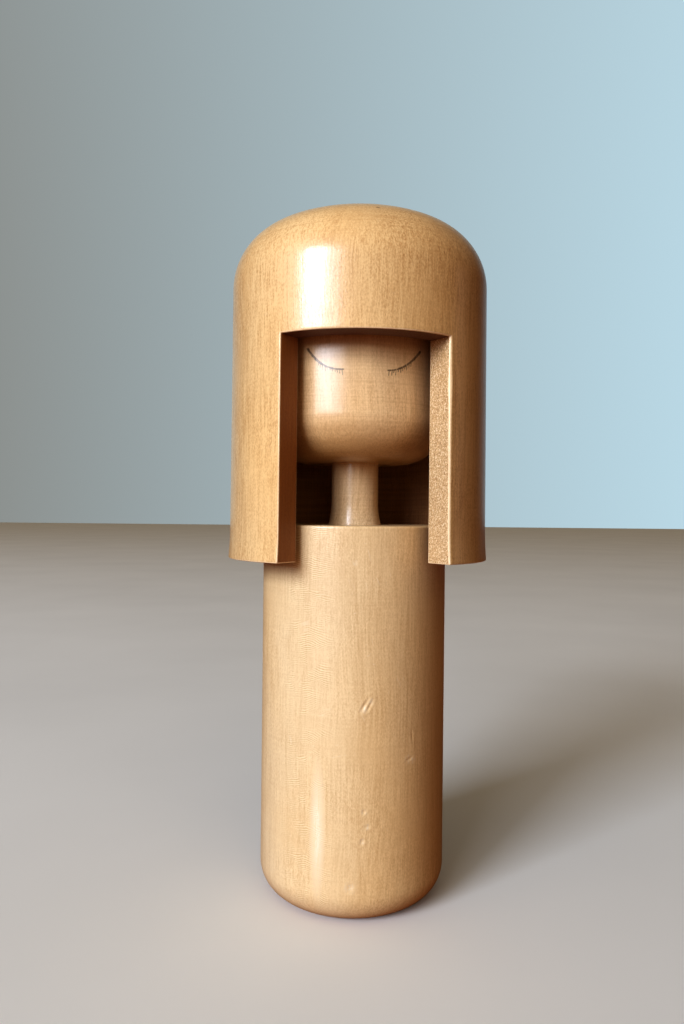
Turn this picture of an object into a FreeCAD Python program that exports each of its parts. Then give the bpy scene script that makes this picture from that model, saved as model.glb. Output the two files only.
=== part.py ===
"""Hooded kokeshi doll: a turned wooden torso, neck, head and hood, held by two loose tenons.

Millimetres, +Z up. The origin is the centre of the flat foot the doll stands on.
The doll looks along -Y, and +X is to the right of someone who faces it.
Every piece is turned on a lathe about the Z axis. The hood alone is cut afterwards.
"""
import FreeCAD, Part
import math
import os

# Torso: a plain cylinder with a large round under edge.
TORSO_RADIUS = 27.0
TORSO_HEIGHT = 107.5
TORSO_FOOT_ROUND = 9.0
TORSO_SHOULDER_ROUND = 0.5

# Neck: a short waisted column with a tenon at each end.
NECK_LENGTH = 18.1
NECK_WAIST_RADIUS = 7.0
NECK_COLLAR_RADIUS = 7.9
NECK_COLLAR_HEIGHT = 6.5
NECK_TENON_RADIUS = 5.0
NECK_LOWER_TENON = 22.0
NECK_UPPER_TENON = 16.0

# Head: a barrel with a soft chin, a flat underside and a flat crown.
HEAD_RADIUS = 26.4
HEAD_HEIGHT = 53.4
CHIN_ROUND = 12.5
CROWN_ROUND = 8.0

# Crown peg: the loose dowel between the head and the hood.
PEG_RADIUS = 4.0
PEG_LENGTH = 20.0
PEG_IN_HEAD = 12.0
PEG_CHAMFER = 0.6

# Hood: a thick cup, upside down, with a domed top and a window for the face.
HOOD_BORE_RADIUS = 30.0
HOOD_SHOULDER_RADIUS = 37.5
HOOD_SKIRT_RADIUS = 37.75
HOOD_RIM_RADIUS = 38.1
HOOD_RIM_HEIGHT = 97.6
HOOD_FLARE_HEIGHT = 7.5
HOOD_SHOULDER_HEIGHT = 176.0
DOME_SHOULDER_ROUND = 18.8
DOME_SHOULDER_SWEEP = 64.9
HOOD_CEILING_ROUND = 7.0
HOOD_RIM_ROUND = 0.6
WINDOW_HALF_ANGLE = 36.3
WINDOW_LINTEL_HEIGHT = 157.5
# The peg's socket is bored this far off the hood's own centre, so the hood sits aside in +X.
HOOD_ASIDE = 0.8

# Fits: radial clearance of a turning tenon, and the free space past its end.
RUNNING_CLEARANCE = 0.05
END_CLEARANCE = 0.5

CHIN_HEIGHT = TORSO_HEIGHT + NECK_LENGTH
CROWN_HEIGHT = CHIN_HEIGHT + HEAD_HEIGHT


def at(radius, height):
    """Point of an outline, in the XZ half plane."""
    return FreeCAD.Vector(radius, 0, height)


def line(start, end):
    """Straight edge between two outline points."""
    return Part.LineSegment(start, end).toShape()


def arc(centre, radius, start_deg, end_deg):
    """Round edge about a centre; 0 degrees points outwards and 90 degrees up."""
    points = []
    for angle in (start_deg, (start_deg + end_deg) / 2, end_deg):
        turn = math.radians(angle)
        points.append(centre + at(radius * math.cos(turn), radius * math.sin(turn)))
    return Part.Arc(*points).toShape()


def turned(edges):
    """Solid of revolution about Z. Gaps between the given edges are closed with lines."""
    outline = []
    for index, edge in enumerate(edges):
        outline.append(edge)
        here = edge.Vertexes[-1].Point
        there = edges[(index + 1) % len(edges)].Vertexes[0].Point
        if here.distanceToPoint(there) > 1e-6:
            outline.append(line(here, there))
    face = Part.Face(Part.Wire(outline))
    return face.revolve(at(0, 0), FreeCAD.Vector(0, 0, 1), 360)


def dowel(radius, bottom, top, chamfer=0.0):
    """Upright round rod, with both ends chamfered if asked."""
    end = radius - chamfer
    return turned([
        line(at(0, bottom), at(end, bottom)),
        line(at(radius, bottom + chamfer), at(radius, top - chamfer)),
        line(at(end, top), at(0, top)),
    ])


def make_torso():
    """Round-footed cylinder with a blind socket for the neck's lower tenon."""
    foot = TORSO_RADIUS - TORSO_FOOT_ROUND
    shoulder = TORSO_RADIUS - TORSO_SHOULDER_ROUND
    body = turned([
        line(at(0, 0), at(foot, 0)),
        arc(at(foot, TORSO_FOOT_ROUND), TORSO_FOOT_ROUND, -90, 0),
        arc(at(shoulder, TORSO_HEIGHT - TORSO_SHOULDER_ROUND), TORSO_SHOULDER_ROUND, 0, 90),
        line(at(shoulder, TORSO_HEIGHT), at(0, TORSO_HEIGHT)),
    ])
    floor = TORSO_HEIGHT - NECK_LOWER_TENON - END_CLEARANCE
    socket = dowel(NECK_TENON_RADIUS + RUNNING_CLEARANCE, floor, TORSO_HEIGHT + 1)
    return body.cut(socket)


def make_neck():
    """Waisted column that swells into a collar on the torso, with a tenon up and down."""
    swell = NECK_COLLAR_RADIUS - NECK_WAIST_RADIUS
    # The collar's hollow curve meets the waist smoothly and the torso at its full width.
    hollow_radius = (swell ** 2 + NECK_COLLAR_HEIGHT ** 2) / (2 * swell)
    reach = math.degrees(math.asin(NECK_COLLAR_HEIGHT / hollow_radius))
    hollow_centre = at(NECK_WAIST_RADIUS + hollow_radius, TORSO_HEIGHT + NECK_COLLAR_HEIGHT)
    bottom = TORSO_HEIGHT - NECK_LOWER_TENON
    top = CHIN_HEIGHT + NECK_UPPER_TENON
    return turned([
        line(at(0, bottom), at(NECK_TENON_RADIUS, bottom)),
        line(at(NECK_TENON_RADIUS, bottom), at(NECK_TENON_RADIUS, TORSO_HEIGHT)),
        arc(hollow_centre, hollow_radius, 180 + reach, 180),
        line(at(NECK_WAIST_RADIUS, CHIN_HEIGHT), at(NECK_TENON_RADIUS, CHIN_HEIGHT)),
        line(at(NECK_TENON_RADIUS, top), at(0, top)),
    ])


def make_head():
    """Barrel-shaped head with a glued neck socket below and the peg's socket above."""
    chin = HEAD_RADIUS - CHIN_ROUND
    crown = HEAD_RADIUS - CROWN_ROUND
    body = turned([
        line(at(0, CHIN_HEIGHT), at(chin, CHIN_HEIGHT)),
        arc(at(chin, CHIN_HEIGHT + CHIN_ROUND), CHIN_ROUND, -90, 0),
        arc(at(crown, CROWN_HEIGHT - CROWN_ROUND), CROWN_ROUND, 0, 90),
        line(at(crown, CROWN_HEIGHT), at(0, CROWN_HEIGHT)),
    ])
    neck_socket = dowel(NECK_TENON_RADIUS, CHIN_HEIGHT - 1, CHIN_HEIGHT + NECK_UPPER_TENON)
    peg_floor = CROWN_HEIGHT - PEG_IN_HEAD
    peg_socket = dowel(PEG_RADIUS + RUNNING_CLEARANCE, peg_floor, CROWN_HEIGHT + 1)
    return body.cut(neck_socket).cut(peg_socket)


def make_crown_peg():
    """Loose dowel that stands in the head and carries the hood's socket."""
    bottom = CROWN_HEIGHT - PEG_IN_HEAD
    return dowel(PEG_RADIUS, bottom, bottom + PEG_LENGTH, PEG_CHAMFER)


def window_wedge():
    """Wedge from the axis through the front wall, up to the window's lintel."""
    far = 2 * HOOD_RIM_RADIUS
    side = far * math.tan(math.radians(WINDOW_HALF_ANGLE))
    below = HOOD_RIM_HEIGHT - 1
    corners = [
        FreeCAD.Vector(0, 0, below),
        FreeCAD.Vector(-side, -far, below),
        FreeCAD.Vector(side, -far, below),
        FreeCAD.Vector(0, 0, below),
    ]
    height = WINDOW_LINTEL_HEIGHT - below
    return Part.Face(Part.makePolygon(corners)).extrude(FreeCAD.Vector(0, 0, height))


def make_hood():
    """Domed cup over the head, open at the front, with the peg's socket in its ceiling.

    The cup and its window stand aside, while the socket stays on the doll's own axis.
    """
    dome_centre = at(HOOD_SHOULDER_RADIUS - DOME_SHOULDER_ROUND, HOOD_SHOULDER_HEIGHT)
    sweep = math.radians(DOME_SHOULDER_SWEEP)
    # The crown's arc is tangent to the shoulder's and has its centre on the axis.
    centre_spacing = dome_centre.x / math.cos(sweep)
    crown_radius = centre_spacing + DOME_SHOULDER_ROUND
    crown_centre = at(0, HOOD_SHOULDER_HEIGHT - dome_centre.x * math.tan(sweep))
    rim_outer = HOOD_RIM_RADIUS - HOOD_RIM_ROUND
    rim_inner = HOOD_BORE_RADIUS + HOOD_RIM_ROUND
    rim_centre_height = HOOD_RIM_HEIGHT + HOOD_RIM_ROUND
    ceiling = HOOD_BORE_RADIUS - HOOD_CEILING_ROUND
    cup = turned([
        arc(at(rim_inner, rim_centre_height), HOOD_RIM_ROUND, 180, 270),
        arc(at(rim_outer, rim_centre_height), HOOD_RIM_ROUND, -90, 0),
        line(at(HOOD_SKIRT_RADIUS, HOOD_RIM_HEIGHT + HOOD_FLARE_HEIGHT),
             at(HOOD_SHOULDER_RADIUS, HOOD_SHOULDER_HEIGHT)),
        arc(dome_centre, DOME_SHOULDER_ROUND, 0, DOME_SHOULDER_SWEEP),
        arc(crown_centre, crown_radius, DOME_SHOULDER_SWEEP, 90),
        line(at(0, CROWN_HEIGHT), at(ceiling, CROWN_HEIGHT)),
        arc(at(ceiling, CROWN_HEIGHT - HOOD_CEILING_ROUND), HOOD_CEILING_ROUND, 90, 0),
    ])
    peg_top = CROWN_HEIGHT - PEG_IN_HEAD + PEG_LENGTH
    peg_socket = dowel(PEG_RADIUS + RUNNING_CLEARANCE, CROWN_HEIGHT - 1, peg_top + END_CLEARANCE)
    shell = cup.cut(window_wedge())
    shell.translate(FreeCAD.Vector(HOOD_ASIDE, 0, 0))
    return shell.cut(peg_socket)


PIECES = {
    "torso": make_torso,
    "neck": make_neck,
    "head": make_head,
    "crown_peg": make_crown_peg,
    "hood": make_hood,
}

os.makedirs("parts", exist_ok=True)
for name, make in PIECES.items():
    shape = make()
    box = shape.BoundBox
    print(f"{name:10} volume {shape.Volume / 1000:7.2f} cm3, solids {len(shape.Solids)}, "
          f"valid {shape.isValid()}, z {box.ZMin:.2f} to {box.ZMax:.2f} mm")
    shape.exportStep(f"parts/{name}.step")
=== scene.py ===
import math

import bmesh
import bpy
import numpy as np
from mathutils import Matrix, Vector


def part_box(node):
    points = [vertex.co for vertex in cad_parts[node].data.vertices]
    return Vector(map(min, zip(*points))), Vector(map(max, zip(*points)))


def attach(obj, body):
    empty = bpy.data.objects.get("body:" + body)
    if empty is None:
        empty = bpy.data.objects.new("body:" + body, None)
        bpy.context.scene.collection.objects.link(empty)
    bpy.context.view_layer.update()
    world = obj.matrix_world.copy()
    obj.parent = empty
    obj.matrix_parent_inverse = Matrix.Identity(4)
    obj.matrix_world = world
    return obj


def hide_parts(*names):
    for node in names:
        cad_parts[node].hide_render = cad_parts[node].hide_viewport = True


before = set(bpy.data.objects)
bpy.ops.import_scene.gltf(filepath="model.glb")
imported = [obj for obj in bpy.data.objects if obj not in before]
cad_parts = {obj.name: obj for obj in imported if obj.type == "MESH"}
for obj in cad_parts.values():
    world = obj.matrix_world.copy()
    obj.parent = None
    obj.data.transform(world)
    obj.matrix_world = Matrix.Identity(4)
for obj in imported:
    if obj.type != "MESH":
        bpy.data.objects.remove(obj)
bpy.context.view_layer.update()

mm = 0.001


# ---------------------------------------------------------------------------------------
# Torso. A solid cylinder of pale close-grained wood, turned with a large round under edge
# and a crisp top edge, then lacquered. Its top holds a blind socket for the neck.
# ---------------------------------------------------------------------------------------
torso_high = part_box("torso")[1]
torso_radius = torso_high.x
torso_top = torso_high.z
foot_round = 9 * mm
torso_top_round = 0.5 * mm
neck_socket_radius = 5.05 * mm
neck_socket_depth = 22.5 * mm


def around(degrees):
    """Unit direction in the XY plane; 0 is the doll's front and +90 its left hand, at +X."""
    turn = math.radians(degrees)
    return Vector((math.sin(turn), -math.cos(turn), 0))


def rounding(radius, height, size, start_deg, end_deg, steps):
    """Points (radius, height) of a rounded edge about a centre; 0 degrees points outwards."""
    points = []
    for step in range(steps + 1):
        turn = math.radians(start_deg + (end_deg - start_deg) * step / steps)
        points.append((radius + size * math.cos(turn), height + size * math.sin(turn)))
    return points


def walk(corners, step):
    """The same outline with points added so that none are further apart than the step."""
    path = [corners[0]]
    for here, there in zip(corners, corners[1:]):
        count = max(1, math.ceil(math.dist(here, there) / step))
        for part in range(1, count + 1):
            share = part / count
            path.append((here[0] + (there[0] - here[0]) * share,
                         here[1] + (there[1] - here[1]) * share))
    return path


def divisions(start_deg, end_deg, count):
    """Evenly spaced angles from start to end, both included."""
    return [start_deg + (end_deg - start_deg) * i / count for i in range(count + 1)]


def add_patch(mesh, rows, finish=0):
    """Add a sheet of four-sided faces through rows of points, in one of the piece's finishes."""
    grid = [[mesh.verts.new(point) for point in row] for row in rows]
    for low, high in zip(grid, grid[1:]):
        for a, b, c, d in zip(low, low[1:], high[1:], high):
            mesh.faces.new((a, b, c, d)).material_index = finish
    return grid


def finish_mesh(name, mesh, materials, sharp_deg=35):
    """Weld the patches, face them outwards, shade them smooth and put the piece in the scene."""
    bmesh.ops.remove_doubles(mesh, verts=mesh.verts, dist=0.001 * mm)
    bmesh.ops.recalc_face_normals(mesh, faces=mesh.faces)
    data = bpy.data.meshes.new(name)
    mesh.to_mesh(data)
    mesh.free()
    data.shade_smooth()
    data.set_sharp_from_angle(angle=math.radians(sharp_deg))
    for material in materials:
        data.materials.append(material)
    piece = bpy.data.objects.new(name, data)
    bpy.context.scene.collection.objects.link(piece)
    return piece


def turn_on_lathe(name, outline, angles, materials):
    """Turn an outline of (radius, height) points about Z into a closed piece."""
    mesh = bmesh.new()
    rows = []
    for radius, height in outline:
        rows.append([around(angle) * radius + Vector((0, 0, height)) for angle in angles])
    add_patch(mesh, rows)
    return finish_mesh(name, mesh, materials)


# Wood is drawn as the solid it is: growth rings about a pith line beside the piece, with
# fibres drawn out along the grain. The group gives its colour and a height for fine relief.
def link_or_set(tree, socket, value):
    """Join a socket to another, or give it a plain value."""
    if isinstance(value, bpy.types.NodeSocket):
        tree.links.new(value, socket)
    elif value is not None:
        socket.default_value = value


def add_node(tree, kind, *values, **settings):
    """Add a node, set its options, and fill its inputs in order."""
    node = tree.nodes.new("ShaderNode" + kind)
    for key, value in settings.items():
        setattr(node, key, value)
    for socket, value in zip(node.inputs, values):
        link_or_set(tree, socket, value)
    return node


def math_node(tree, operation, *values):
    """Result of a Math node."""
    return add_node(tree, "Math", *values, operation=operation).outputs[0]


def vector_node(tree, operation, *values):
    """Result of a Vector Math node; the value output for lengths, the vector otherwise."""
    node = add_node(tree, "VectorMath", *values, operation=operation)
    return node.outputs["Value" if operation == "LENGTH" else "Vector"]


def noise_node(tree, place, scale, detail=2.0, roughness=0.5):
    """Smooth noise from 0 to 1 at a place."""
    node = add_node(tree, "TexNoise", place)
    node.inputs["Scale"].default_value = scale
    node.inputs["Detail"].default_value = detail
    node.inputs["Roughness"].default_value = roughness
    return node.outputs["Fac"]


def remap(tree, value, low, high, new_low=0.0, new_high=1.0):
    """Stretch a value from one range to another, and hold it there."""
    node = add_node(tree, "MapRange", value, low, high, new_low, new_high, clamp=True)
    return node.outputs[0]


def mix_colour(tree, share, first, second, blend="MIX"):
    """Blend two colours."""
    node = add_node(tree, "Mix", data_type="RGBA", blend_type=blend)
    link_or_set(tree, node.inputs["Factor"], share)
    link_or_set(tree, node.inputs[6], first)
    link_or_set(tree, node.inputs[7], second)
    return node.outputs[2]


def new_group(name, inputs, outputs):
    """Start a node group with named inputs and outputs."""
    group = bpy.data.node_groups.new(name, "ShaderNodeTree")
    kinds = {"value": "NodeSocketFloat", "colour": "NodeSocketColor", "vector": "NodeSocketVector"}
    for label, (kind, default) in inputs.items():
        socket = group.interface.new_socket(label, in_out="INPUT", socket_type=kinds[kind])
        socket.default_value = default
    for label, kind in outputs.items():
        group.interface.new_socket(label, in_out="OUTPUT", socket_type=kinds[kind])
    return group, group.nodes.new("NodeGroupInput").outputs, group.nodes.new("NodeGroupOutput").inputs


def make_grown_wood():
    """Rings, fibres and cloudy patches of one piece of timber."""
    group, given, result = new_group(
        "grown_wood",
        {
            "Pith": ("vector", (0.05, 0.03, 0)),
            "Ring Width": ("value", 2.6 * mm),
            "Ring Strength": ("value", 0.5),
            "Fibre Strength": ("value", 0.5),
            "Cloud Strength": ("value", 0.5),
            "Pale": ("colour", (0.7, 0.5, 0.3, 1)),
            "Deep": ("colour", (0.5, 0.3, 0.15, 1)),
        },
        {"Color": "colour", "Relief": "value"},
    )
    place = add_node(group, "TexCoord").outputs["Object"]
    # The trunk was never quite straight, so the whole pattern wanders a few millimetres.
    bend = add_node(group, "TexNoise", place)
    bend.inputs["Scale"].default_value = 22
    bend.inputs["Detail"].default_value = 1.5
    bend_offset = vector_node(group, "SUBTRACT", bend.outputs["Color"], (0.5, 0.5, 0.5))
    bend_offset = vector_node(group, "MULTIPLY", bend_offset, (0.006, 0.006, 0.006))
    grown = vector_node(group, "ADD", place, bend_offset)
    from_pith = vector_node(group, "SUBTRACT", grown, given["Pith"])
    across = vector_node(group, "MULTIPLY", from_pith, (1, 1, 0.03))
    ring_count = math_node(group, "DIVIDE", vector_node(group, "LENGTH", across), given["Ring Width"])
    ring_age = math_node(group, "FRACT", ring_count)
    late_wood = math_node(group, "POWER", ring_age, 5.0)
    ring_number = math_node(group, "FLOOR", ring_count)
    ring_luck = add_node(group, "TexWhiteNoise", noise_dimensions="1D")
    group.links.new(ring_number, ring_luck.inputs["W"])
    luck = ring_luck.outputs["Value"]
    ring_tone = math_node(group, "MULTIPLY", late_wood, remap(group, luck, 0, 1, 0.35, 1.0))
    ring_tone = math_node(group, "ADD", ring_tone, math_node(group, "MULTIPLY", luck, 0.25))
    # Fibres: long thin streaks, and short fine flecks between them.
    streak_place = vector_node(group, "MULTIPLY", grown, (1, 1, 0.035))
    streaks = noise_node(group, streak_place, 2100, 2.0, 0.6)
    fleck_place = vector_node(group, "MULTIPLY", place, (1, 1, 0.55))
    flecks = noise_node(group, fleck_place, 2700, 1.5, 0.6)
    # The figure comes and goes over the surface, crisp in one hand's breadth and cloudy in the next.
    figure = remap(group, noise_node(group, place, 55, 2.0), 0.35, 0.65, 0.55, 1.3)
    half_streaks = math_node(group, "MULTIPLY", streaks, 0.5)
    half_flecks = math_node(group, "MULTIPLY", flecks, 0.5)
    fibre = math_node(group, "ADD", half_streaks, half_flecks)
    fibre_swing = math_node(group, "MULTIPLY", math_node(group, "SUBTRACT", fibre, 0.5), 3.6)
    figured = math_node(group, "MULTIPLY", fibre_swing, figure)
    fibre_tone = math_node(group, "MULTIPLY", figured, given["Fibre Strength"])
    cloud_place = vector_node(group, "MULTIPLY", place, (1, 1, 0.45))
    clouds = noise_node(group, cloud_place, 42, 3.0, 0.55)
    cloud_swing = math_node(group, "SUBTRACT", clouds, 0.5)
    cloud_tone = math_node(group, "MULTIPLY", cloud_swing, given["Cloud Strength"])
    ring_part = math_node(group, "MULTIPLY", ring_tone, given["Ring Strength"])
    depth = math_node(group, "ADD", math_node(group, "ADD", ring_part, fibre_tone), cloud_tone)
    tone = mix_colour(group, remap(group, depth, -0.2, 1.0), given["Pale"], given["Deep"])
    # Slow drift between a rosier and a greener tan, as in any plank.
    drift = noise_node(group, vector_node(group, "MULTIPLY", place, (1, 1, 0.5)), 30, 2.0, 0.5)
    rosy_share = remap(group, drift, 0.35, 0.7, 0.0, 1.0)
    rosy = mix_colour(group, rosy_share, tone, (1.03, 0.97, 0.86, 1), "MULTIPLY")
    group.links.new(rosy, result["Color"])
    group.links.new(fibre, result["Relief"])
    return group


grown_wood = make_grown_wood()


def make_lathe_lines():
    """Fine lines round the piece, left by the turning gouge and by sanding on the lathe."""
    group, given, result = new_group(
        "lathe_lines",
        {"Pitch": ("value", 0.6 * mm), "Wander": ("value", 0.5)},
        {"Line": "value", "End": "value"},
    )
    place = add_node(group, "TexCoord").outputs["Object"]
    split = add_node(group, "SeparateXYZ", place).outputs
    flat = vector_node(group, "MULTIPLY", place, (1, 1, 0))
    # Height on a wall and closeness to the axis on an end both move along the tool's path.
    travel = math_node(group, "SUBTRACT", split["Z"], vector_node(group, "LENGTH", flat))
    wander = math_node(group, "MULTIPLY", noise_node(group, place, 60, 2.0, 0.5), given["Wander"])
    steps = math_node(group, "ADD", math_node(group, "DIVIDE", travel, given["Pitch"]), wander)
    line_place = add_node(group, "CombineXYZ", math_node(group, "MULTIPLY", split["X"], 25),
                          math_node(group, "MULTIPLY", split["Y"], 25), steps)
    line = noise_node(group, line_place.outputs[0], 1.0, 2.0, 0.6)
    group.links.new(line, result["Line"])
    # How far the surface has turned from a wall towards an end face.
    facing = add_node(group, "SeparateXYZ", add_node(group, "TexCoord").outputs["Normal"]).outputs["Z"]
    group.links.new(remap(group, math_node(group, "ABSOLUTE", facing), 0.08, 0.45), result["End"])
    return group


lathe_lines = make_lathe_lines()


def make_hand_wear():
    """Rubs and hair scratches that years of handling leave in a lacquer."""
    group, given, result = new_group(
        "hand_wear",
        {"Scratch Length": ("value", 0.12), "Amount": ("value", 0.5)},
        {"Scratch": "value", "Rub": "value"},
    )
    place = add_node(group, "TexCoord").outputs["Object"]
    scratches = []
    for turn in (0.35, 1.9):
        leant = add_node(group, "VectorRotate", place, rotation_type="AXIS_ANGLE")
        leant.inputs["Axis"].default_value = (0.3, 1, 0.2)
        leant.inputs["Angle"].default_value = turn
        drawn = add_node(group, "SeparateXYZ", leant.outputs[0]).outputs
        long_axis = math_node(group, "MULTIPLY", drawn["Z"], given["Scratch Length"])
        thin = add_node(group, "CombineXYZ", drawn["X"], drawn["Y"], long_axis)
        fine = noise_node(group, thin.outputs[0], 1500, 0.0)
        here = noise_node(group, place, 130 + 40 * turn, 1.0)
        line = remap(group, fine, 0.76, 0.82)
        scratches.append(math_node(group, "MULTIPLY", line, remap(group, here, 0.56, 0.68)))
    scratch = math_node(group, "MULTIPLY", math_node(group, "MAXIMUM", *scratches), given["Amount"])
    rub = remap(group, noise_node(group, place, 75, 4.0, 0.65), 0.45, 0.75)
    group.links.new(scratch, result["Scratch"])
    group.links.new(rub, result["Rub"])
    return group


hand_wear = make_hand_wear()


def add_group(tree, group, **values):
    """Place a node group in a material and set its inputs by name, with _ for a space."""
    node = tree.nodes.new("ShaderNodeGroup")
    node.node_tree = group
    for key, value in values.items():
        link_or_set(tree, node.inputs[key.replace("_", " ")], value)
    return node.outputs


def srgb(red, green, blue):
    """Colour from paint-chart numbers, 0 to 255, to the shader's linear light."""
    linear = []
    for part in (red, green, blue):
        part = part / 255
        linear.append(part / 12.92 if part <= 0.04045 else ((part + 0.055) / 1.055) ** 2.4)
    return (*linear, 1)


def new_material(name, roughness, coat, coat_roughness, coat_tint=(1, 1, 1, 1)):
    """Material with its main shader, clear lacquer included."""
    material = bpy.data.materials.new(name)
    material.use_nodes = True
    tree = material.node_tree
    tree.nodes.clear()
    shader = add_node(tree, "BsdfPrincipled")
    shader.inputs["Roughness"].default_value = roughness
    shader.inputs["Coat Weight"].default_value = coat
    shader.inputs["Coat Roughness"].default_value = coat_roughness
    shader.inputs["Coat IOR"].default_value = 1.5
    shader.inputs["Coat Tint"].default_value = coat_tint
    shader.inputs["Specular IOR Level"].default_value = 0.4
    output = add_node(tree, "OutputMaterial")
    tree.links.new(shader.outputs[0], output.inputs["Surface"])
    return material, tree, shader


def add_relief(tree, shader, *layers):
    """Chain bumps into the shader: each layer is a height and its depth in metres."""
    normal = None
    for height, depth in layers:
        bump = add_node(tree, "Bump")
        bump.inputs["Strength"].default_value = 1.0
        bump.inputs["Distance"].default_value = depth
        tree.links.new(height, bump.inputs["Height"])
        if normal:
            tree.links.new(normal, bump.inputs["Normal"])
        normal = bump.outputs[0]
    tree.links.new(normal, shader.inputs["Normal"])
    tree.links.new(normal, shader.inputs["Coat Normal"])


# The ripple's upright band: its middle, where it has faded out and where it is full.
ripple_aside = -13.5 * mm
ripple_outer = 9.5 * mm
ripple_inner = 4.5 * mm
ripple_pitch = 0.54 * mm
# Middle of the pale patch that paints a highlight.
glint_aside = -10.5 * mm
glint_height = 26 * mm
# Pale scuffs: degrees round from the front, height, size.
torso_scuffs = [
    (3.2, 58.9 * mm, 1.5 * mm),
    (7.2, 60.9 * mm, 1.3 * mm),
    (3.8, 31.7 * mm, 1.1 * mm),
    (5.7, 27.7 * mm, 1.2 * mm),
    (2.9, 23.8 * mm, 1.1 * mm),
    (31.0, 44.5 * mm, 1.7 * mm),
    (34.5, 44.0 * mm, 1.3 * mm),
    (-3.5, 11.6 * mm, 2.2 * mm),
    (-2.4, 97.7 * mm, 1.0 * mm),
]


def make_torso_material():
    """Pale wood with a rippled ray figure down its front left, under semi-gloss lacquer."""
    material, tree, shader = new_material("torso_lacquered_wood", 0.48, 0.5, 0.27)
    wood = add_group(tree, grown_wood, Pith=(-0.016, -0.060, 0), Ring_Width=3.4 * mm,
                     Ring_Strength=0.16, Fibre_Strength=0.55, Cloud_Strength=0.6,
                     Pale=srgb(238, 212, 168), Deep=srgb(188, 150, 98))
    lines = add_group(tree, lathe_lines, Pitch=0.55 * mm, Wander=2.0)["Line"]
    wear = add_group(tree, hand_wear, Scratch_Length=0.1, Amount=0.35)
    # Ripple: the rays show as fine wavy lines across the grain in one upright band.
    place = add_node(tree, "TexCoord").outputs["Object"]
    split = add_node(tree, "SeparateXYZ", place).outputs
    sway = math_node(tree, "MULTIPLY", noise_node(tree, place, 130, 2.0), 6.0)
    from_band = math_node(tree, "ABSOLUTE", math_node(tree, "SUBTRACT", split["X"], ripple_aside))
    bow = math_node(tree, "MULTIPLY", from_band, 380)
    rise = math_node(tree, "DIVIDE", split["Z"], ripple_pitch)
    crest = math_node(tree, "ADD", rise, math_node(tree, "ADD", sway, bow))
    ripple = math_node(tree, "SINE", math_node(tree, "MULTIPLY", crest, 2 * math.pi))
    patches = remap(tree, noise_node(tree, place, 260, 3.0), 0.38, 0.62)
    front = remap(tree, split["Y"], -14 * mm, -20 * mm)
    within_band = remap(tree, from_band, ripple_outer, ripple_inner)
    band_mask = math_node(tree, "MULTIPLY", within_band, math_node(tree, "MULTIPLY", patches, front))
    ripple_tone = math_node(tree, "MULTIPLY", ripple, band_mask)
    crest_share = remap(tree, ripple_tone, -1, 1, 0.0, 1.0)
    rippled = mix_colour(tree, crest_share, srgb(200, 160, 104), srgb(255, 240, 200))
    ripple_share = math_node(tree, "MULTIPLY", math_node(tree, "ABSOLUTE", ripple_tone), 0.52)
    base = mix_colour(tree, ripple_share, wood["Color"], rippled)
    # From paler, cooler sapwood at the doll's right hand to slightly deeper heartwood at its left; this
    # tone also paints cooler light on the -X side and shade on the +X side.
    sapwood_and_painted_light = mix_colour(tree, remap(tree, split["X"], -6 * mm, -24 * mm), (1, 1, 1, 1), (1, 1.02, 1.06, 1))
    heartwood_and_painted_shade = mix_colour(tree, remap(tree, split["X"], -2 * mm, 24 * mm), sapwood_and_painted_light, (0.93, 0.85, 0.74, 1))
    base = mix_colour(tree, 1.0, base, heartwood_and_painted_shade, "MULTIPLY")
    lined = mix_colour(tree, remap(tree, lines, 0.4, 0.7, 0.0, 0.08), base, srgb(190, 148, 100))
    # A pale patch low on the same side, paler than the wood round it: a painted highlight.
    glint_side = math_node(tree, "MULTIPLY", math_node(tree, "SUBTRACT", split["X"], glint_aside), 420)
    glint_rise = math_node(tree, "MULTIPLY", math_node(tree, "SUBTRACT", split["Z"], glint_height), 48)
    glint_far = add_node(tree, "CombineXYZ", glint_side, glint_rise, 0)
    painted_glint = remap(tree, vector_node(tree, "LENGTH", glint_far.outputs[0]), 1.0, 0.2)
    grainy = remap(tree, wood["Relief"], 0.4, 0.6, 0.25, 0.7)
    painted_glint = math_node(tree, "MULTIPLY", math_node(tree, "MULTIPLY", painted_glint, front), grainy)
    wear_and_painted_glint = mix_colour(tree, painted_glint, lined, srgb(255, 244, 218))
    scratch_share = math_node(tree, "MULTIPLY", wear["Scratch"], 0.5)
    marked = mix_colour(tree, scratch_share, wear_and_painted_glint, srgb(250, 238, 214))
    # The lacquer has flaked pale over the small dents.
    for degrees, height, size in torso_scuffs:
        where = around(degrees) * torso_radius + Vector((0, 0, height))
        off = vector_node(tree, "SUBTRACT", place, where)
        share = remap(tree, vector_node(tree, "LENGTH", off), size, 0.2 * size)
        share = math_node(tree, "MULTIPLY", share, remap(tree, wood["Relief"], 0.44, 0.6, 0.0, 0.42))
        marked = mix_colour(tree, share, marked, srgb(255, 246, 222))
    tree.links.new(marked, shader.inputs["Base Color"])
    rough = remap(tree, wear["Rub"], 0, 1, 0.42, 0.56)
    tree.links.new(rough, shader.inputs["Roughness"])
    scratch_layer = (wear["Scratch"], 0.02 * mm)
    add_relief(tree, shader, (wood["Relief"], 0.04 * mm), (lines, 0.012 * mm), scratch_layer)
    return material


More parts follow.
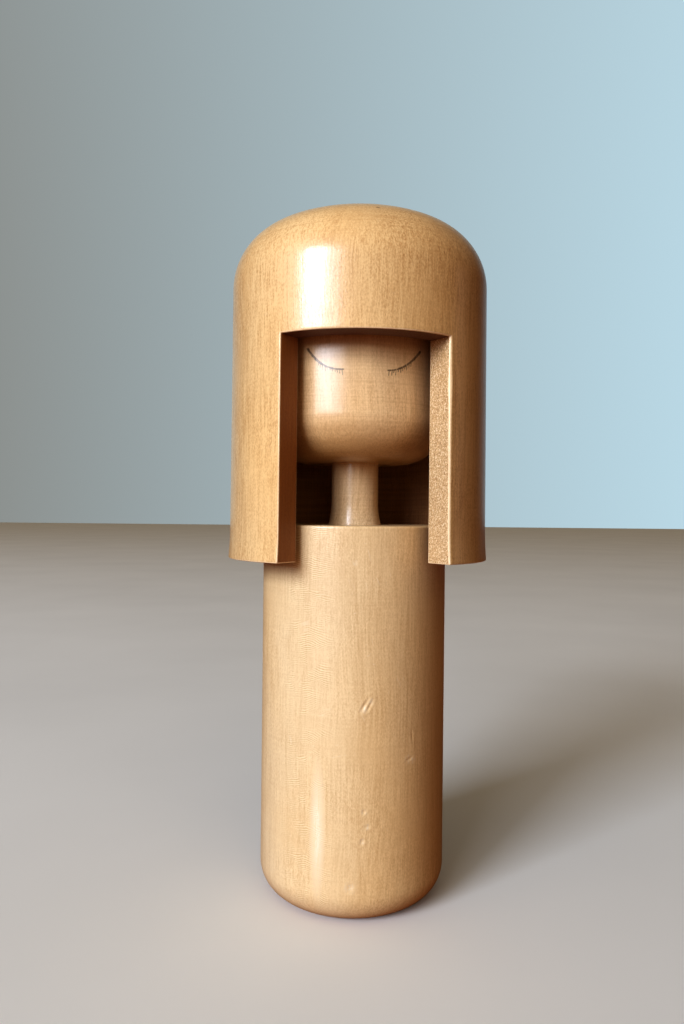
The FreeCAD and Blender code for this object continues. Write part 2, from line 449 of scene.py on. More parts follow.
foot_flat = torso_radius - foot_round
top_flat = torso_radius - torso_top_round
top_edge = torso_top - torso_top_round
socket_floor = torso_top - neck_socket_depth
torso_outline = walk([(0, 0), (foot_flat, 0)], 3 * mm)
torso_outline += rounding(foot_flat, foot_round, foot_round, -90, 0, 30)[1:]
torso_outline += walk([(torso_radius, foot_round), (torso_radius, top_edge)], 0.4 * mm)[1:]
torso_outline += rounding(top_flat, top_edge, torso_top_round, 0, 90, 4)[1:]
torso_outline += walk([(top_flat, torso_top), (neck_socket_radius, torso_top)], 2 * mm)[1:]
torso_outline += walk([(neck_socket_radius, torso_top), (neck_socket_radius, socket_floor)], 4 * mm)[1:]
torso_outline += [(0, socket_floor)]
torso_angles = divisions(-75, 75, 214) + divisions(75, 285, 84)[1:]
torso = turn_on_lathe("torso_turned", torso_outline, torso_angles, [make_torso_material()])


def press_marks(piece, marks):
    """Press shallow dents into a turned wall.

    Each mark is (degrees round from the front, height, width, length, lean in degrees, depth).
    """
    points = np.empty(len(piece.data.vertices) * 3)
    piece.data.vertices.foreach_get("co", points)
    points = points.reshape(-1, 3)
    radius = np.hypot(points[:, 0], points[:, 1])
    angle = np.arctan2(points[:, 0], -points[:, 1])
    outward = np.stack([np.sin(angle), -np.cos(angle)], 1)
    wall = radius > 0.9 * radius.max()
    for degrees, height, width, length, lean, depth in marks:
        side = (angle - math.radians(degrees)) * radius
        rise = points[:, 2] - height
        tilt = math.radians(lean)
        along = rise * math.cos(tilt) + side * math.sin(tilt)
        across = side * math.cos(tilt) - rise * math.sin(tilt)
        spot = (across / width) ** 2 + (along / length) ** 2
        # A pressed hollow with a faint raised lip, as bruised wood has.
        push = depth * (np.exp(-3 * spot) - 0.25 * np.exp(-1.2 * (spot - 1.6) ** 2)) * wall
        points[:, :2] -= outward * push[:, None]
    piece.data.vertices.foreach_set("co", points.ravel())
    piece.data.update()


press_marks(torso, [
    (3.4, 59.8 * mm, 0.6 * mm, 2.7 * mm, 32, 0.27 * mm),
    (6.6, 59.8 * mm, 0.55 * mm, 2.3 * mm, 28, 0.24 * mm),
    (3.8, 31.7 * mm, 0.7 * mm, 0.8 * mm, 0, 0.24 * mm),
    (5.7, 27.7 * mm, 1.3 * mm, 0.45 * mm, 0, 0.22 * mm),
    (2.9, 23.8 * mm, 0.7 * mm, 1.1 * mm, 15, 0.24 * mm),
    (31.7, 44.5 * mm, 0.5 * mm, 1.7 * mm, 70, 0.17 * mm),
    (33.7, 50.8 * mm, 0.35 * mm, 3.0 * mm, -8, 0.16 * mm),
    (-3.5, 11.6 * mm, 1.1 * mm, 1.5 * mm, 10, 0.16 * mm),
    (-2.4, 97.7 * mm, 0.35 * mm, 1.6 * mm, 0, 0.10 * mm),
    (6.7, 97.7 * mm, 0.4 * mm, 1.3 * mm, 20, 0.10 * mm),
])
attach(torso, "torso")
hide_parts("torso")


# ---------------------------------------------------------------------------------------
# Neck. A short waisted column turned from the same pale wood, with a collar that sits on
# the torso. Its lower tenon turns in the torso and its upper one is glued in the head.
# ---------------------------------------------------------------------------------------
neck_low, neck_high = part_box("neck")
neck_collar_radius = neck_high.x
neck_waist_radius = 7.0 * mm
neck_collar_height = 6.5 * mm
neck_tenon_radius = 5.0 * mm
chin_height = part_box("head")[0].z


def make_neck_material():
    """Pale, slightly greyer wood under a thin glossy lacquer."""
    material, tree, shader = new_material("neck_lacquered_wood", 0.45, 0.55, 0.16)
    wood = add_group(tree, grown_wood, Pith=(0.03, 0.02, 0), Ring_Width=2.2 * mm,
                     Ring_Strength=0.2, Fibre_Strength=0.7, Cloud_Strength=0.4,
                     Pale=srgb(240, 214, 174), Deep=srgb(192, 155, 108))
    lines = add_group(tree, lathe_lines, Pitch=0.5 * mm, Wander=1.0)["Line"]
    lined = mix_colour(tree, remap(tree, lines, 0.35, 0.7, 0.0, 0.2), wood["Color"], srgb(176, 138, 96))
    tree.links.new(lined, shader.inputs["Base Color"])
    tree.links.new(remap(tree, lines, 0.3, 0.7, 0.36, 0.46), shader.inputs["Roughness"])
    add_relief(tree, shader, (wood["Relief"], 0.02 * mm), (lines, 0.012 * mm))
    return material


swell = neck_collar_radius - neck_waist_radius
hollow_radius = (swell ** 2 + neck_collar_height ** 2) / (2 * swell)
hollow_reach = math.degrees(math.asin(neck_collar_height / hollow_radius))
neck_outline = walk([(0, neck_low.z), (neck_tenon_radius, neck_low.z)], 2 * mm)
neck_outline += walk([(neck_tenon_radius, neck_low.z), (neck_tenon_radius, torso_top)], 3 * mm)[1:]
neck_outline += rounding(neck_waist_radius + hollow_radius, torso_top + neck_collar_height,
                         hollow_radius, 180 + hollow_reach, 180, 16)
neck_outline += walk([neck_outline[-1], (neck_waist_radius, chin_height)], 0.5 * mm)[1:]
neck_outline += [(neck_tenon_radius, chin_height)]
neck_outline += walk([(neck_tenon_radius, chin_height), (neck_tenon_radius, neck_high.z)], 3 * mm)[1:]
neck_outline += [(0, neck_high.z)]
neck = turn_on_lathe("neck_turned", neck_outline, divisions(0, 360, 96), [make_neck_material()])
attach(neck, "head")
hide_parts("neck")


# ---------------------------------------------------------------------------------------
# Head. A barrel of pale wood with a soft chin, glued on the neck. Two closed eyes are drawn
# on it in thin brown-grey ink, each a falling curve with short lashes; nothing else is drawn.
# ---------------------------------------------------------------------------------------
head_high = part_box("head")[1]
head_radius = head_high.x
crown_height = head_high.z
chin_round = 12.5 * mm
crown_round = 8.0 * mm
neck_glue_depth = 16 * mm
peg_socket_radius = 4.05 * mm
peg_in_head = 12 * mm

# The eyes: how far round from the face's middle each end is, and how high.
face_turn = 2.6
eye_inner = 13.1
eye_outer = 35.6
eye_low = 149.2 * mm
eye_high = 155.2 * mm


def eye_height(share, droop):
    """Height of the lid line from its inner end, 0, to its outer end, 1."""
    return eye_low + (eye_high - eye_low) * share ** droop


def ink_strokes():
    """Short straight strokes (angle, height, angle, height, half width) of both eyes."""
    strokes = []
    luck = np.random.default_rng(7)
    steps = 26
    lashes = 11
    for side, droop in ((-1, 2.4), (1, 1.9)):
        for step in range(steps):
            start, end = step / steps, (step + 1) / steps
            width = (0.13 + 0.17 * start + 0.09 * luck.random()) * mm
            strokes.append((side * (eye_inner + (eye_outer - eye_inner) * start), eye_height(start, droop),
                            side * (eye_inner + (eye_outer - eye_inner) * end), eye_height(end, droop),
                            width))
        for lash in range(lashes):
            share = 0.03 + 0.72 * lash / lashes + 0.02 * luck.random()
            angle = side * (eye_inner + (eye_outer - eye_inner) * share)
            length = (0.5 + 0.7 * luck.random()) * mm
            height = eye_height(share, droop)
            strokes.append((angle, height, angle - side * 0.3, height - 1.25 * length, 0.1 * mm))
    return strokes


def draw_ink(piece):
    """Store on each point of the head how much ink it carries."""
    points = np.empty(len(piece.data.vertices) * 3)
    piece.data.vertices.foreach_get("co", points)
    points = points.reshape(-1, 3)
    angle = np.degrees(np.arctan2(points[:, 0], -points[:, 1])) - face_turn
    radius = np.hypot(points[:, 0], points[:, 1])
    side = np.radians(angle) * head_radius
    ink = np.zeros(len(points))
    for angle_a, height_a, angle_b, height_b, half_width in ink_strokes():
        start = np.array((math.radians(angle_a) * head_radius, height_a))
        reach = np.array((math.radians(angle_b) * head_radius, height_b)) - start
        here = np.stack([side, points[:, 2]], 1) - start
        share = np.clip(here @ reach / (reach @ reach), 0, 1)
        away = np.hypot(*(here - share[:, None] * reach).T)
        soft = 0.08 * mm
        ink = np.maximum(ink, np.clip((half_width + soft - away) / (2 * soft), 0, 1))
    ink[radius < 0.9 * head_radius] = 0
    layer = piece.data.attributes.new("ink", "FLOAT", "POINT")
    layer.data.foreach_set("value", ink.astype(np.float32))


def make_head_material():
    """Pale wood under glossy lacquer, darker at the chin and crown as end grain and as painted shade under
    the chin, with the drawn eyes sunk into the grain.
    """
    material, tree, shader = new_material("head_lacquered_wood", 0.45, 0.55, 0.2)
    wood = add_group(tree, grown_wood, Pith=(0.02, 0.055, 0), Ring_Width=2.8 * mm,
                     Ring_Strength=0.2, Fibre_Strength=0.6, Cloud_Strength=0.5,
                     Pale=srgb(239, 207, 160), Deep=srgb(184, 142, 92))
    lines = add_group(tree, lathe_lines, Pitch=0.45 * mm, Wander=1.2)["Line"]
    wear = add_group(tree, hand_wear, Scratch_Length=0.1, Amount=0.4)
    # End grain, where the barrel turns in at the chin and the crown, drinks lacquer and goes darker; the
    # same darkening paints shade under the chin.
    facing = add_node(tree, "TexCoord").outputs["Normal"]
    turned_under = add_node(tree, "SeparateXYZ", facing).outputs["Z"]
    end_grain_and_shade = remap(tree, math_node(tree, "ABSOLUTE", turned_under), 0.1, 0.85)
    end_grain_and_chin_shade = mix_colour(tree, end_grain_and_shade, (1, 1, 1, 1), (0.7, 0.59, 0.42, 1))
    grown = mix_colour(tree, 1.0, wood["Color"], end_grain_and_chin_shade, "MULTIPLY")
    line_share = remap(tree, lines, 0.4, 0.7, 0.0, 0.16)
    lined = mix_colour(tree, line_share, grown, srgb(170, 120, 70))
    ink = add_node(tree, "Attribute", attribute_name="ink").outputs["Fac"]
    broken = math_node(tree, "MULTIPLY", ink, remap(tree, wood["Relief"], 0.36, 0.54, 0.48, 0.9))
    inked = mix_colour(tree, broken, lined, srgb(84, 60, 34))
    tree.links.new(inked, shader.inputs["Base Color"])
    tree.links.new(remap(tree, wear["Rub"], 0, 1, 0.34, 0.46), shader.inputs["Roughness"])
    add_relief(tree, shader, (wood["Relief"], 0.035 * mm), (lines, 0.012 * mm))
    return material


glue_top = chin_height + neck_glue_depth
chin_flat = head_radius - chin_round
chin_edge = chin_height + chin_round
crown_flat = head_radius - crown_round
crown_edge = crown_height - crown_round
drawn_low = eye_low - 2 * mm
drawn_high = eye_high + 1 * mm
peg_floor = crown_height - peg_in_head
head_outline = [(0, glue_top)]
head_outline += walk([(neck_tenon_radius, glue_top), (neck_tenon_radius, chin_height)], 4 * mm)
head_outline += walk([(neck_tenon_radius, chin_height), (chin_flat, chin_height)], 1 * mm)[1:]
head_outline += rounding(chin_flat, chin_edge, chin_round, -90, 0, 40)[1:]
head_outline += walk([(head_radius, chin_edge), (head_radius, drawn_low)], 0.6 * mm)[1:]
head_outline += walk([(head_radius, drawn_low), (head_radius, drawn_high)], 0.12 * mm)[1:]
head_outline += walk([(head_radius, drawn_high), (head_radius, crown_edge)], 1 * mm)[1:]
head_outline += rounding(crown_flat, crown_edge, crown_round, 0, 90, 14)[1:]
head_outline += walk([(crown_flat, crown_height), (peg_socket_radius, crown_height)], 2 * mm)[1:]
head_outline += walk([(peg_socket_radius, crown_height), (peg_socket_radius, peg_floor)], 3 * mm)[1:]
head_outline += [(0, peg_floor)]
head_angles = divisions(-40, 42, 340) + divisions(42, 320, 92)[1:]
head = turn_on_lathe("head_turned", head_outline, head_angles, [make_head_material()])
draw_ink(head)
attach(head, "head")
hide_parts("head")


# ---------------------------------------------------------------------------------------
# Crown peg. A bare turned dowel, loose in both sockets, that centres the hood on the head.
# It is hidden until the hood is lifted.
# ---------------------------------------------------------------------------------------
def make_peg_material():
    """Bare straight-grained dowel, gone a little dark with rubbing."""
    material, tree, shader = new_material("peg_bare_wood", 0.65, 0.0, 0.3)
    wood = add_group(tree, grown_wood, Pith=(0.02, 0.01, 0), Ring_Width=1.5 * mm,
                     Ring_Strength=0.4, Fibre_Strength=0.8, Cloud_Strength=0.3,
                     Pale=srgb(214, 184, 142), Deep=srgb(168, 128, 84))
    lines = add_group(tree, lathe_lines, Pitch=0.6 * mm, Wander=1.0)["Line"]
    wear_and_painted_glint = mix_colour(tree, remap(tree, lines, 0.4, 0.75, 0.0, 0.3), wood["Color"], srgb(130, 96, 60))
    tree.links.new(wear_and_painted_glint, shader.inputs["Base Color"])
    tree.links.new(remap(tree, lines, 0.3, 0.7, 0.58, 0.72), shader.inputs["Roughness"])
    add_relief(tree, shader, (wood["Relief"], 0.03 * mm), (lines, 0.02 * mm))
    return material


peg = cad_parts["crown_peg"]
peg.data.materials.clear()
peg.data.materials.append(make_peg_material())


# ---------------------------------------------------------------------------------------
# Hood. The doll's hair: a thick golden-tan cup turned with a domed top, hollowed from below,
# then sawn open at the front for the face. Outside it is lacquered; the sawn faces are only
# sanded, their outer corners worn pale and wavy and painted paler still as a sheen, and the
# bore is bare and dark. Painted shade darkens the sawn jamb at -X and the faces under the lintel.
# ---------------------------------------------------------------------------------------
hood_low, hood_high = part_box("hood")
hood_aside = (hood_low.x + hood_high.x) / 2
rim_height = hood_low.z
rim_radius = hood_high.x - hood_aside
bore_radius = 30 * mm
skirt_radius = 37.75 * mm
shoulder_radius = 37.5 * mm
flare_height = 7.5 * mm
shoulder_height = 176 * mm
shoulder_round = 18.8 * mm
shoulder_sweep = 64.9
ceiling_round = 7 * mm
lintel_height = 157.5 * mm
window_half = 36.3
peg_in_hood = 8.5 * mm
wall_steps = 5
worn_width = 1.7 * mm
chip_height = 144.8 * mm
chip_length = 4 * mm
OUTSIDE, SAWN, BORE, WORN_SHEEN = range(4)


def hood_outside(height):
    """Outer radius of the wall: a slight taper with a small flare at the rim."""
    share = (height - rim_height) / (shoulder_height - rim_height)
    flare = max(0, 1 - (height - rim_height) / flare_height)
    straight = skirt_radius + (shoulder_radius - skirt_radius) * share
    return straight + (rim_radius - skirt_radius) * flare ** 1.5


def ring(radius, height, angles):
    """Points of one level ring; the hood stands aside, its peg socket does not."""
    aside = hood_aside if radius > peg_socket_radius else 0
    return [around(angle) * radius + Vector((aside, 0, height)) for angle in angles]


def build_hood(materials):
    """Outer and inner skins with the rim, the lintel and the two jambs between them."""
    mesh = bmesh.new()
    wall_angles = divisions(window_half, 360 - window_half, 168)
    window_angles = divisions(-window_half, window_half, 56)
    every_angle = window_angles + wall_angles[1:]
    wall_heights = [height for _, height in walk([(0, rim_height), (0, lintel_height)], 0.8 * mm)]
    through = [i / wall_steps for i in range(wall_steps + 1)]

    add_patch(mesh, [ring(hood_outside(z), z, wall_angles) for z in wall_heights], OUTSIDE)
    upper = [(hood_outside(z), z) for _, z in walk([(0, lintel_height), (0, shoulder_height)], 0.8 * mm)]
    dome_x = shoulder_radius - shoulder_round
    upper += rounding(dome_x, shoulder_height, shoulder_round, 0, shoulder_sweep, 30)[1:]
    sweep = math.radians(shoulder_sweep)
    crown_radius = dome_x / math.cos(sweep) + shoulder_round
    crown_centre = shoulder_height - dome_x * math.tan(sweep)
    upper += rounding(0, crown_centre, crown_radius, shoulder_sweep, 90, 30)[1:-1]
    add_patch(mesh, [ring(radius, z, every_angle) for radius, z in upper], OUTSIDE)
    pole = mesh.verts.new((hood_aside, 0, crown_centre + crown_radius))
    last = [mesh.verts.new(point) for point in ring(*upper[-1], every_angle)]
    for here, there in zip(last, last[1:]):
        mesh.faces.new((here, there, pole)).material_index = OUTSIDE

    add_patch(mesh, [ring(bore_radius, z, wall_angles) for z in wall_heights], BORE)
    ceiling = bore_radius - ceiling_round
    inner = walk([(bore_radius, lintel_height), (bore_radius, crown_height - ceiling_round)], 2 * mm)
    inner += rounding(ceiling, crown_height - ceiling_round, ceiling_round, 0, 90, 10)[1:]
    inner += walk([(ceiling, crown_height), (peg_socket_radius, crown_height)], 3 * mm)[1:]
    inner += [(peg_socket_radius, crown_height + peg_in_hood), (0, crown_height + peg_in_hood)]
    add_patch(mesh, [ring(radius, z, every_angle) for radius, z in inner], BORE)

    def slab(share, height, angles):
        """Ring part of the way from the bore to the outside."""
        return ring(bore_radius + (hood_outside(height) - bore_radius) * share, height, angles)

    add_patch(mesh, [slab(share, rim_height, wall_angles) for share in through], SAWN)
    add_patch(mesh, [slab(share, lintel_height, window_angles) for share in through], SAWN)
    for edge in (-window_half, window_half):
        add_patch(mesh, [[slab(share, z, [edge])[0] for z in wall_heights] for share in through], SAWN)

    bmesh.ops.remove_doubles(mesh, verts=mesh.verts, dist=0.001 * mm)
    bmesh.ops.recalc_face_normals(mesh, faces=mesh.faces)
    # Worn corners: the outer edges of the window are worn widest, in slow waves and small nicks.
    # The inside corners under the lintel are out of a hand's reach and stay crisp.
    weight = mesh.edges.layers.float.new("bevel_weight_edge")
    for edge in mesh.edges:
        if not edge.is_manifold or edge.calc_face_angle() < math.radians(50):
            continue
        middle = (edge.verts[0].co + edge.verts[1].co) / 2
        if middle.z > lintel_height + 1 * mm:
            continue
        both_sawn = all(face.material_index == SAWN for face in edge.link_faces)
        if both_sawn and middle.z > lintel_height - 0.5 * mm:
            continue
        outer = math.hypot(middle.x - hood_aside, middle.y) > bore_radius + 3 * mm
        window_side = outer and middle.z > rim_height + 0.5 * mm and middle.z < lintel_height - 0.5 * mm
        wave = 0.5 + 0.5 * math.sin(middle.z * 410 + 3 * math.sin(middle.z * 173) + 200 * middle.x)
        chip = math.exp(-((middle.z - chip_height) / chip_length) ** 2)
        nick = (math.sin(middle.z * 2300) * math.sin(middle.z * 1370 + 1)) ** 2
        if window_side and middle.x > 0:
            edge[weight] = 0.24 + 0.1 * wave + 0.25 * nick + 0.3 * chip
        elif window_side:
            edge[weight] = 0.14 + 0.08 * wave + 0.1 * nick
        else:
            edge[weight] = 0.19 + 0.05 * wave if outer else 0.14
    data = bpy.data.meshes.new("hood_turned")
    mesh.to_mesh(data)
    mesh.free()
    for material in materials:
        data.materials.append(material)
    rough_hood = bpy.data.objects.new("hood_turned", data)
    bpy.context.scene.collection.objects.link(rough_hood)
    bevel = rough_hood.modifiers.new("worn corners", "BEVEL")
    bevel.limit_method = "WEIGHT"
    bevel.width = worn_width
    bevel.segments = 3
    bevel.material = WORN_SHEEN
    bpy.context.view_layer.update()
    worn = rough_hood.evaluated_get(bpy.context.evaluated_depsgraph_get())
    final = bpy.data.meshes.new_from_object(worn)
    rough_hood.modifiers.clear()
    rough_hood.data = final
    bpy.data.meshes.remove(data)
    final.name = "hood_turned"
    final.shade_smooth()
    final.set_sharp_from_angle(angle=math.radians(40))
    return rough_hood


dome_marks = [
    ((3.6 * mm, -30.0 * mm, 190.4 * mm), 0.8 * mm, srgb(92, 58, 30)),
    ((13.4 * mm, -25.6 * mm, 191.7 * mm), 0.9 * mm, srgb(250, 236, 206)),
    ((15.6 * mm, -26.2 * mm, 190.2 * mm), 0.6 * mm, srgb(250, 236, 206)),
]


def make_hood_material():
    """Golden-tan wood under semi-gloss lacquer, with upright streaks and turning lines."""
    material, tree, shader = new_material("hood_lacquered_wood", 0.44, 0.7, 0.17)
    wood = add_group(tree, grown_wood, Pith=(-0.085, 0.012, 0), Ring_Width=2.4 * mm,
                     Ring_Strength=0.16, Fibre_Strength=0.75, Cloud_Strength=1.1,
                     Pale=srgb(234, 200, 146), Deep=srgb(172, 120, 60))
    turning = add_group(tree, lathe_lines, Pitch=0.7 * mm, Wander=1.0)
    lines = turning["Line"]
    line_strength = remap(tree, turning["End"], 0, 1, 0.04, 0.22)
    line_share = math_node(tree, "MULTIPLY", remap(tree, lines, 0.4, 0.7), line_strength)
    wear = add_group(tree, hand_wear, Scratch_Length=0.1, Amount=0.6)
    place = add_node(tree, "TexCoord").outputs["Object"]
    side = add_node(tree, "SeparateXYZ", place).outputs["X"]
    # Sapwood tone at the doll's right hand and deeper heartwood at its left; this also paints cooler light
    # on the -X side and shade on the +X side.
    sapwood_and_painted_light = mix_colour(tree, remap(tree, side, -10 * mm, -34 * mm), (1, 1, 1, 1), (1, 1.04, 1.12, 1))
    heartwood_and_painted_shade = mix_colour(tree, remap(tree, side, 0, 34 * mm), sapwood_and_painted_light, (0.92, 0.84, 0.73, 1))
    grown = mix_colour(tree, 1.0, wood["Color"], heartwood_and_painted_shade, "MULTIPLY")
    lined = mix_colour(tree, line_share, grown, srgb(160, 104, 46))
    scratch_share = math_node(tree, "MULTIPLY", wear["Scratch"], 0.25)
    marked = mix_colour(tree, scratch_share, lined, srgb(240, 214, 170))
    # One pin knot and two small scuffs at the front of the dome.
    for where, size, colour in dome_marks:
        off = vector_node(tree, "LENGTH", vector_node(tree, "SUBTRACT", place, where))
        marked = mix_colour(tree, remap(tree, off, size, 0.4 * size, 0.0, 0.8), marked, colour)
    tree.links.new(marked, shader.inputs["Base Color"])
    tree.links.new(remap(tree, wear["Rub"], 0, 1, 0.38, 0.52), shader.inputs["Roughness"])
    scratch_layer = (wear["Scratch"], 0.02 * mm)
    add_relief(tree, shader, (wood["Relief"], 0.05 * mm), (lines, 0.008 * mm), scratch_layer)
    return material


def make_sawn_material():
    """Sawn faces: open pores on the jamb at +X, streaky grain at -X darkened as painted shade, and dark
    end grain above and below, deepened as painted shade under the lintel and the rim.
    """
    material, tree, shader = new_material("hood_sawn_wood", 0.6, 0.15, 0.35)
    wood = add_group(tree, grown_wood, Pith=(-0.085, 0.012, 0), Ring_Width=2.4 * mm,
                     Ring_Strength=0.2, Fibre_Strength=0.6, Cloud_Strength=0.4,
                     Pale=srgb(210, 178, 132), Deep=srgb(170, 132, 88))
    coordinates = add_node(tree, "TexCoord").outputs
    stretched = vector_node(tree, "MULTIPLY", coordinates["Object"], (1, 1, 0.7))
    stipple = noise_node(tree, stretched, 3300, 1.5, 0.6)
    side = add_node(tree, "SeparateXYZ", coordinates["Object"]).outputs["X"]
    right = remap(tree, side, -2 * mm, 2 * mm)
    pore_share = math_node(tree, "MULTIPLY", right, remap(tree, stipple, 0.5, 0.7, 0.0, 0.65))
    pores = mix_colour(tree, pore_share, wood["Color"], srgb(138, 96, 54))
    crumb_share = math_node(tree, "MULTIPLY", right, remap(tree, stipple, 0.48, 0.32, 0.0, 0.6))
    crumbs = mix_colour(tree, crumb_share, pores, srgb(255, 236, 200))
    # The jamb at -X is darkened and browned: painted shade.
    painted_jamb_shade = mix_colour(tree, right, srgb(214, 168, 112), (1, 1, 1, 1))
    sided = mix_colour(tree, 1.0, crumbs, painted_jamb_shade, "MULTIPLY")
    # End grain facing up and down goes dark; under the lintel and the rim this is also painted shade.
    turned_down = add_node(tree, "SeparateXYZ", coordinates["Normal"]).outputs["Z"]
    end_grain_and_shade = remap(tree, math_node(tree, "ABSOLUTE", turned_down), 0.5, 0.8, 0.0, 0.85)
    tree.links.new(mix_colour(tree, end_grain_and_shade, sided, srgb(92, 38, 14)), shader.inputs["Base Color"])
    tree.links.new(remap(tree, stipple, 0.3, 0.7, 0.5, 0.7), shader.inputs["Roughness"])
    height = mix_colour(tree, right, wood["Relief"], stipple)
    add_relief(tree, shader, (height, 0.06 * mm))
    return material


def make_bore_material():
    """Bare hollowed wood inside the hood, darkened, with coarse rings from the boring tool."""
    material, tree, shader = new_material("hood_bore_wood", 0.7, 0.0, 0.3)
    wood = add_group(tree, grown_wood, Pith=(-0.085, 0.012, 0), Ring_Width=2.4 * mm,
                     Ring_Strength=0.3, Fibre_Strength=0.8, Cloud_Strength=0.5,
                     Pale=srgb(168, 118, 70), Deep=srgb(118, 74, 36))
    lines = add_group(tree, lathe_lines, Pitch=1.2 * mm, Wander=0.6)["Line"]
    lined = mix_colour(tree, remap(tree, lines, 0.35, 0.7, 0.0, 0.4), wood["Color"], srgb(96, 60, 32))
    tree.links.new(lined, shader.inputs["Base Color"])
    tree.links.new(remap(tree, lines, 0.3, 0.7, 0.62, 0.78), shader.inputs["Roughness"])
    add_relief(tree, shader, (wood["Relief"], 0.04 * mm), (lines, 0.05 * mm))
    return material


def make_worn_sheen_material():
    """Corners worn smooth and pale through the lacquer by rubbing, and painted paler still as a sheen."""
    material, tree, shader = new_material("hood_worn_corner_and_painted_sheen", 0.4, 0.5, 0.2)
    wood = add_group(tree, grown_wood, Pith=(-0.085, 0.012, 0), Ring_Width=2.4 * mm,
                     Ring_Strength=0.15, Fibre_Strength=0.6, Cloud_Strength=0.4,
                     Pale=srgb(248, 224, 184), Deep=srgb(216, 178, 130))
    wear = add_group(tree, hand_wear, Scratch_Length=0.3, Amount=0.6)
    tree.links.new(wood["Color"], shader.inputs["Base Color"])
    tree.links.new(remap(tree, wear["Rub"], 0, 1, 0.42, 0.58), shader.inputs["Roughness"])
    add_relief(tree, shader, (wood["Relief"], 0.03 * mm))
    return material


hood = build_hood([make_hood_material(), make_sawn_material(), make_bore_material(), make_worn_sheen_material()])
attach(hood, "hood")
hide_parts("hood")


# ---------------------------------------------------------------------------------------
# Studio. A pale matt floor, cool soft window lights from the front left, weak warm fills and
# a pale surround, with the camera close in front of the doll, a little above half its height.
# ---------------------------------------------------------------------------------------
def make_floor():
    """Wide sheet of matt paper: pale where the camera sees it, brown to every other ray."""
    mesh = bmesh.new()
    half = 6.0
    steps = divisions(-half, half, 8)
    add_patch(mesh, [[Vector((x, y, 0)) for x in steps] for y in steps])
    material, tree, shader = new_material("floor_paper", 0.9, 0.0, 0.5)
    place = add_node(tree, "TexCoord").outputs["Object"]
    tone = noise_node(tree, place, 6, 3.0)
    paper = mix_colour(tree, remap(tree, tone, 0.3, 0.7), srgb(232, 229, 223), srgb(238, 235, 229))
    seen = add_node(tree, "LightPath").outputs["Is Camera Ray"]
    tree.links.new(mix_colour(tree, seen, srgb(140, 76, 20), paper), shader.inputs["Base Color"])
    return finish_mesh("floor", mesh, [material])


make_floor()


def add_softbox(name, azimuth, height, distance, width, tall, radiance, tint):
    """Rectangular lamp of an even brightness that faces the doll's axis."""
    lamp = bpy.data.lights.new(name, "AREA")
    lamp.shape = "RECTANGLE"
    lamp.size = width
    lamp.size_y = tall
    lamp.energy = radiance * math.pi * width * tall
    lamp.color = tint
    holder = bpy.data.objects.new(name, lamp)
    holder.location = around(azimuth) * distance + Vector((0, 0, height))
    aim = Vector((0, 0, height)) - holder.location
    holder.rotation_euler = aim.to_track_quat("-Z", "Y").to_euler()
    bpy.context.scene.collection.objects.link(holder)
    return holder


daylight = (0.93, 1.06, 1.28)
add_softbox("window_upper_panes", -43, 1.52, 3.0, 1.14, 1.05, 23.5, daylight)
add_softbox("window_lower_panes", -43, 0.75, 3.0, 1.14, 0.5, 14, daylight)
add_softbox("window_side_pane", -25.5, 1.2, 3.0, 0.6, 1.6, 6.5, daylight)
add_softbox("window_low_pane", -28, 0.27, 3.0, 0.16, 0.44, 7, (0.93, 1.04, 1.2))
add_softbox("front_fill", 9, 0.55, 3.0, 0.9, 0.8, 1.5, (1.0, 0.80, 0.56))
add_softbox("far_doorway", 94, 0.35, 2.4, 0.3, 1.3, 0.8, (0.92, 0.72, 0.66))


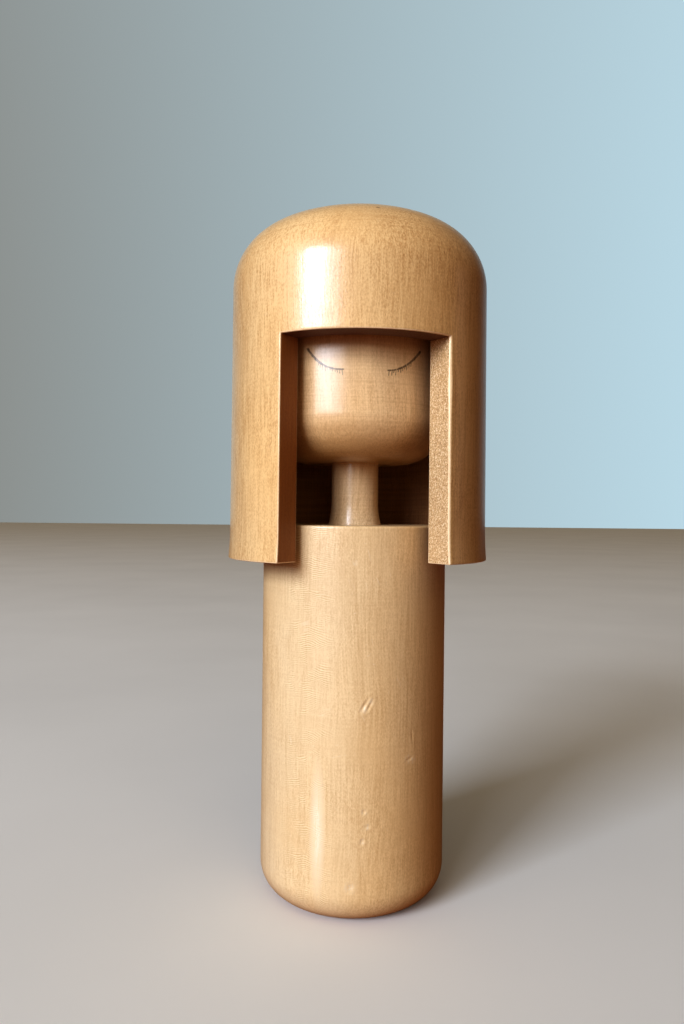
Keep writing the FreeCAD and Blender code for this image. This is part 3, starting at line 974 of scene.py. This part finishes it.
def make_world():
    """Surround: a warm glow from the front and overhead, a wall behind, and a pale backdrop to see."""
    world = bpy.data.worlds.new("pale_room")
    world.use_nodes = True
    tree = world.node_tree
    way = add_node(tree, "TexCoord").outputs["Generated"]
    split = add_node(tree, "SeparateXYZ", way).outputs
    glow_way = add_node(tree, "VectorMath", way, tuple(around(-22) * 0.82 + Vector((0, 0, 0.57))),
                        operation="DOT_PRODUCT").outputs["Value"]
    room = remap(tree, glow_way, 0.58, 1.0, 0.0, 0.85)
    overhead = remap(tree, split["Z"], 0.3, 0.95, 0.0, 0.28)
    glow = vector_node(tree, "SCALE", (0.96, 0.70, 0.40), None, None, room)
    above = vector_node(tree, "SCALE", (0.95, 0.86, 0.72), None, None, overhead)
    front = vector_node(tree, "ADD", glow, above)
    # The wall is seen mirrored at the doll's edges more than it lights it.
    mirrored = remap(tree, add_node(tree, "LightPath").outputs["Is Diffuse Ray"], 0, 1, 1.0, 0.2)
    wall_glow = math_node(tree, "MULTIPLY", remap(tree, split["Y"], 0.62, 0.92), mirrored)
    wall = vector_node(tree, "SCALE", (0.42, 0.52, 0.57), None, None, wall_glow)
    lit = vector_node(tree, "ADD", vector_node(tree, "ADD", front, wall), (0.010, 0.006, 0.003))
    across = remap(tree, split["X"], -0.45, 0.45)
    seen = mix_colour(tree, across, srgb(160, 161, 157), srgb(206, 232, 243))
    camera_ray = add_node(tree, "LightPath").outputs["Is Camera Ray"]
    tree.links.new(mix_colour(tree, camera_ray, lit, seen), tree.nodes["Background"].inputs["Color"])
    return world


bpy.context.scene.world = make_world()
bpy.context.scene.view_settings.view_transform = "Standard"
bpy.context.scene.view_settings.exposure = -0.12
bpy.context.scene.view_settings.gamma = 0.8

camera_azimuth = math.radians(-2.2)
camera_roll = math.radians(0.6)
camera_distance = 230.7 * mm
camera_aside = 3.8 * mm
camera_height = 111.2 * mm
lens = bpy.data.cameras.new("camera")
lens.lens = 27.04
lens.sensor_width = 36
camera = bpy.data.objects.new("camera", lens)
ahead = Vector((-math.sin(camera_azimuth), math.cos(camera_azimuth), 0))
rightward = Vector((math.cos(camera_azimuth), math.sin(camera_azimuth), 0))
camera.location = -ahead * camera_distance - rightward * camera_aside + Vector((0, 0, camera_height))
facing = Matrix.Rotation(camera_azimuth, 3, "Z") @ Matrix.Rotation(math.pi / 2, 3, "X")
camera.rotation_euler = (facing @ Matrix.Rotation(camera_roll, 3, "Z")).to_euler()
bpy.context.scene.collection.objects.link(camera)
bpy.context.scene.camera = camera
lens.clip_start = 0.01
